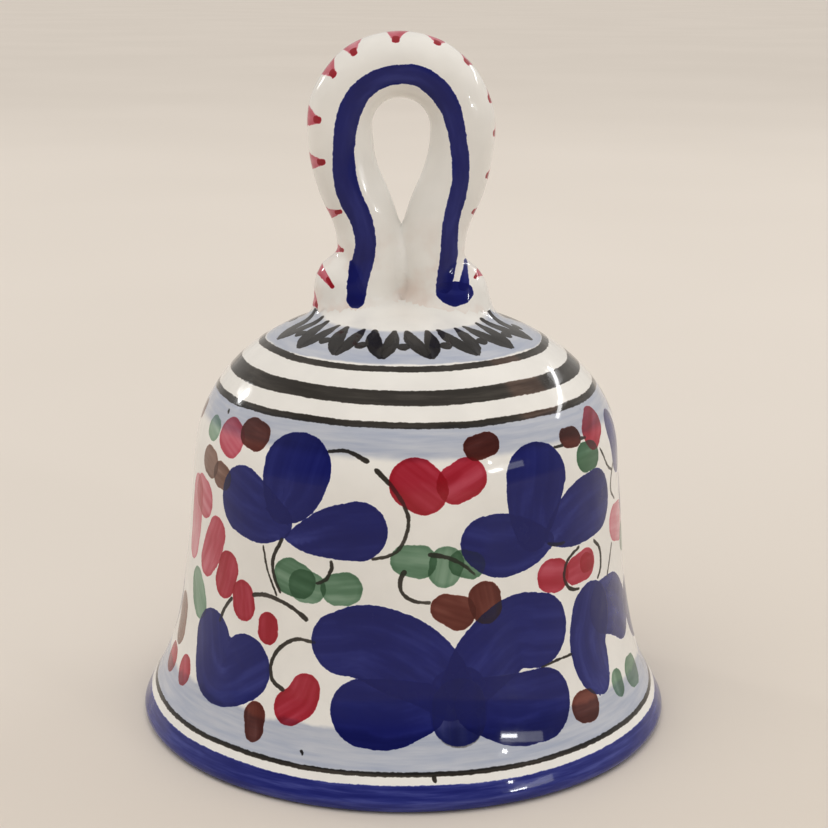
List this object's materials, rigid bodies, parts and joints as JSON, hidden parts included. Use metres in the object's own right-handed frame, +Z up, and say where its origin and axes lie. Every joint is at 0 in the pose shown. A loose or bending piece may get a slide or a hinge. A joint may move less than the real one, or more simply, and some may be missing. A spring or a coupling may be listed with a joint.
{
  "type": "hand bell",
  "caption": "Small glazed ceramic hand bell with a flared lip, an omega-shaped loop handle and a bead clapper hung on wire, painted with garden flowers.",
  "frame": {"origin": "centre of the mouth, on the surface that the bell stands on", "axes": "+Z up along the bell's axis; the handle's loop lies in the XZ plane; the front of the bell faces -Y"},
  "size_m": [0.076, 0.076, 0.0965],
  "materials": {
    "painted_glaze": "glossy tin glaze, off-white, brush-painted in cobalt, green, red and brown-black under a clear coat",
    "handle_glaze": "glossy tin glaze, off-white, with a cobalt stripe and small red brush dashes",
    "bare_clay": "fired clay under a thin wash of glaze",
    "fired_wire": "heat-resistant wire, dark oxide from the kiln",
    "clapper_wire": "drawn steel wire, lightly dulled",
    "collar_metal": "crimped metal tube",
    "bead_glaze": "glossy off-white glaze"
  },
  "bodies": {
    "bell": {"bell_body": "painted_glaze", "handle_loop": "handle_glaze", "hanger_pad": "bare_clay", "hanger_staple": "fired_wire"},
    "link": {"link_ring": "fired_wire"},
    "clapper": {"clapper_wire": "clapper_wire", "upper_collar": "collar_metal", "lower_collar": "collar_metal"},
    "bead": {"clapper_bead": "bead_glaze"}
  },
  "joints": [
    {"name": "link_swing", "type": "hinge", "parent": "bell", "child": "link", "pos_m": [0, 0, 0.0458], "axis": [0, 1, 0], "range_deg": [-38, 38]},
    {"name": "clapper_sway", "type": "hinge", "parent": "link", "child": "clapper", "pos_m": [0, 0, 0.04135], "axis": [1, 0, 0], "range_deg": [-14, 14]},
    {"name": "bead_spin", "type": "hinge", "parent": "clapper", "child": "bead", "pos_m": [0, 0, 0.017], "axis": [0, 0, 1], "continuous": true}
  ]
}
